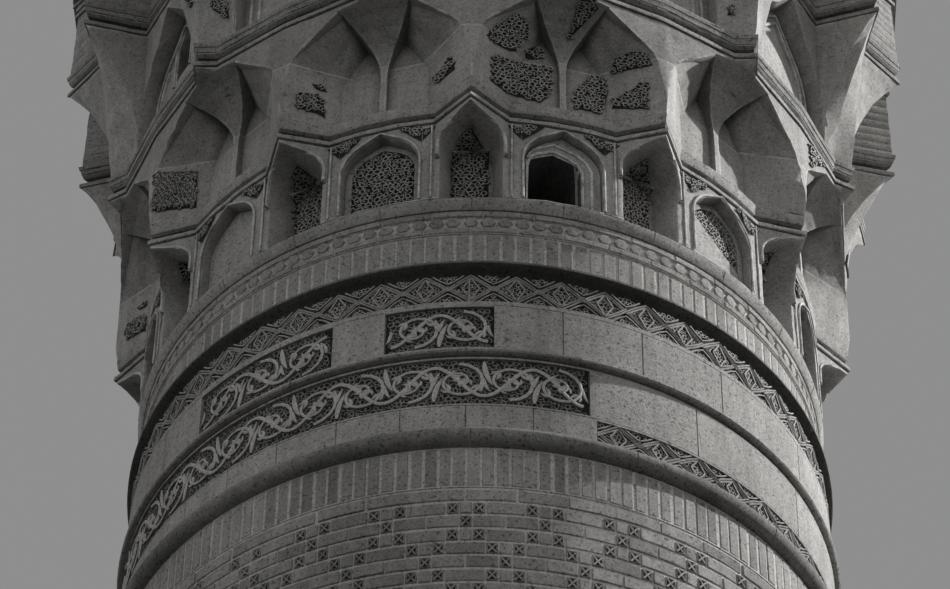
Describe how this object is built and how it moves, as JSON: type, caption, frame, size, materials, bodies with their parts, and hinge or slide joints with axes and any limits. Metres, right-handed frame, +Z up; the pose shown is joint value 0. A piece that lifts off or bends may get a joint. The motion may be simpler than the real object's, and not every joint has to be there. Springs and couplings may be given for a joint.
{
  "type": "minaret head",
  "caption": "Round brick and stone minaret head with a carved drum, four tiers of stalactite corbels and a plain gallery floor over an open stair well.",
  "frame": {"origin": "centre of the cut foot of the shaft", "axes": "+Z up the tower's axis; -Y through the middle of a deep first-tier niche, the side facing the picture's camera"},
  "size_m": [5.3894, 5.3894, 8.56],
  "materials": {
    "brick": "matt fired brick, weathered",
    "stone": "matt dressed limestone, weathered",
    "pale_stone": "matt carved pale stone"
  },
  "bodies": {
    "root": {"band_course_lower": "stone", "band_course_upper": "stone", "bead_band": "stone", "cornice_1": "stone", "cornice_2": "stone", "cornice_3_1": "stone", "cornice_3_2": "stone", "cornice_3_3": "stone", "cornice_3_4": "stone", "gallery_floor": "pale_stone", "ledge_moulding": "stone", "plain_course": "stone", "roll_moulding": "stone", "scotia_moulding": "stone", "screen_045": "pale_stone", "screen_075": "pale_stone", "screen_105": "pale_stone", "screen_135": "pale_stone", "screen_165": "pale_stone", "screen_195": "pale_stone", "screen_225": "pale_stone", "screen_255": "pale_stone", "screen_285": "pale_stone", "screen_315": "pale_stone", "screen_345": "pale_stone", "shaft_wall": "brick", "soldier_course_lower": "brick", "soldier_course_upper": "brick", "strapwork_frieze": "stone", "tier1_body_1": "stone", "tier1_body_2": "stone", "tier1_body_3": "stone", "tier1_body_4": "stone", "tier1_sill": "stone", "tier2_body_1": "stone", "tier2_body_2": "stone", "tier2_body_3": "stone", "tier2_body_4": "stone", "tier3_body_1": "brick", "tier3_body_2": "brick", "tier3_body_3": "brick", "tier3_body_4": "brick", "tier4_body_1": "brick", "tier4_body_2": "brick", "tier4_body_3": "brick", "tier4_body_4": "brick", "window_frame": "pale_stone"}
  },
  "joints": []
}
